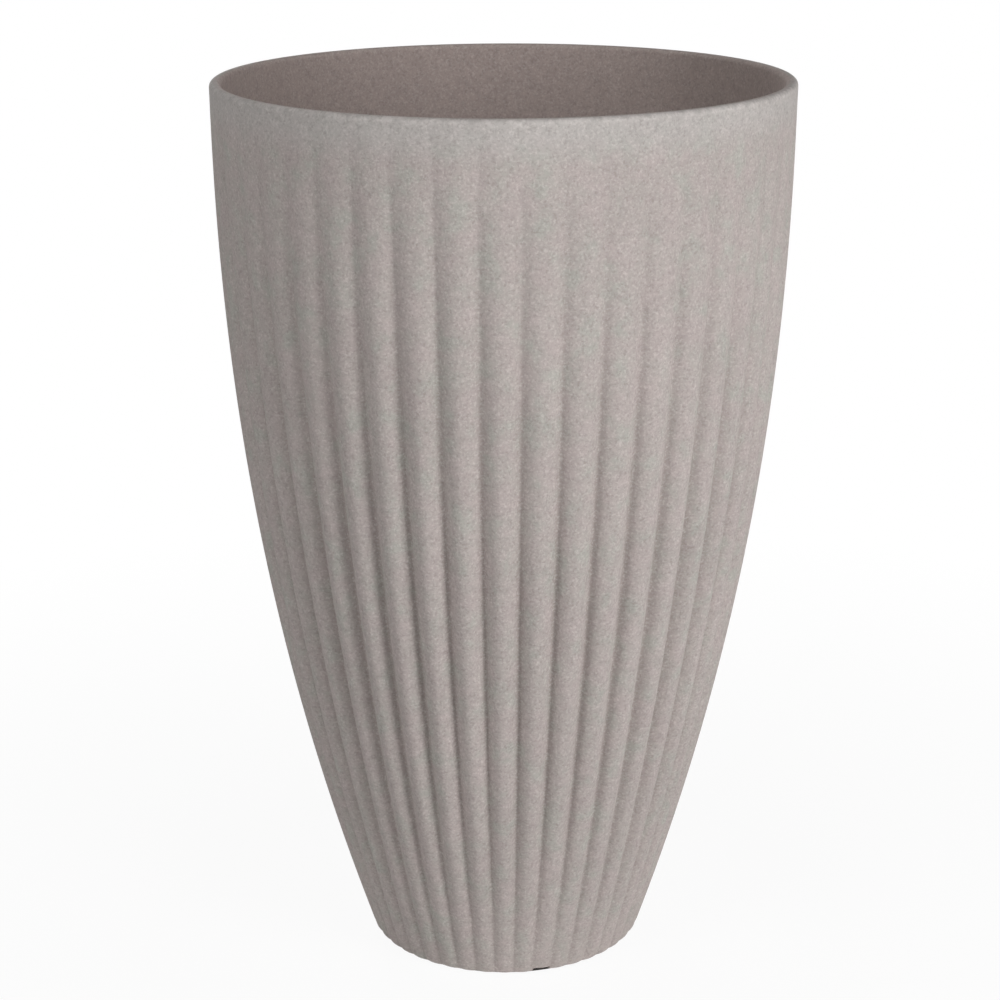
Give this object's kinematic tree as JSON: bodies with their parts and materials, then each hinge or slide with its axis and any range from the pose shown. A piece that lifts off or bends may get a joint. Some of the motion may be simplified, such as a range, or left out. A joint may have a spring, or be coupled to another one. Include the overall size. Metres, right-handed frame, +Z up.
{
  "type": "flower pot",
  "caption": "Tall round flower pot with a fluted, tapering stone-look side and a smooth rounded rim, a lift-out reservoir disk on wick cups, and rubber drain plugs.",
  "frame": {"origin": "centre of the foot ring, on the ground", "axes": "+Z up along the pot's axis, -Y towards the front, +X to the right seen from the front"},
  "size_m": [0.323, 0.323, 0.508],
  "materials": {
    "stone_look": "fine sandy grain in light and dark, dull",
    "insert_plastic": "satin moulded",
    "plug_rubber": "dull"
  },
  "bodies": {
    "pot": {"pot_shell": "stone_look"},
    "insert": {"reservoir_disk": "insert_plastic", "wick_cup_1": "insert_plastic", "wick_cup_2": "insert_plastic", "wick_cup_3": "insert_plastic"},
    "plug_1": {"drain_plug_1": "plug_rubber"},
    "plug_2": {"drain_plug_2": "plug_rubber"},
    "plug_3": {"drain_plug_3": "plug_rubber"}
  },
  "joints": [
    {"name": "insert_lift", "type": "slide", "parent": "pot", "child": "insert", "axis": [0, 0, 1], "range_m": [0, 0.5]},
    {"name": "plug_1_pull", "type": "slide", "parent": "pot", "child": "plug_1", "axis": [0, 0, -1], "range_m": [0, 0.03]},
    {"name": "plug_2_pull", "type": "slide", "parent": "pot", "child": "plug_2", "axis": [0, 0, -1], "range_m": [0, 0.03]},
    {"name": "plug_3_pull", "type": "slide", "parent": "pot", "child": "plug_3", "axis": [0, 0, -1], "range_m": [0, 0.03]}
  ]
}
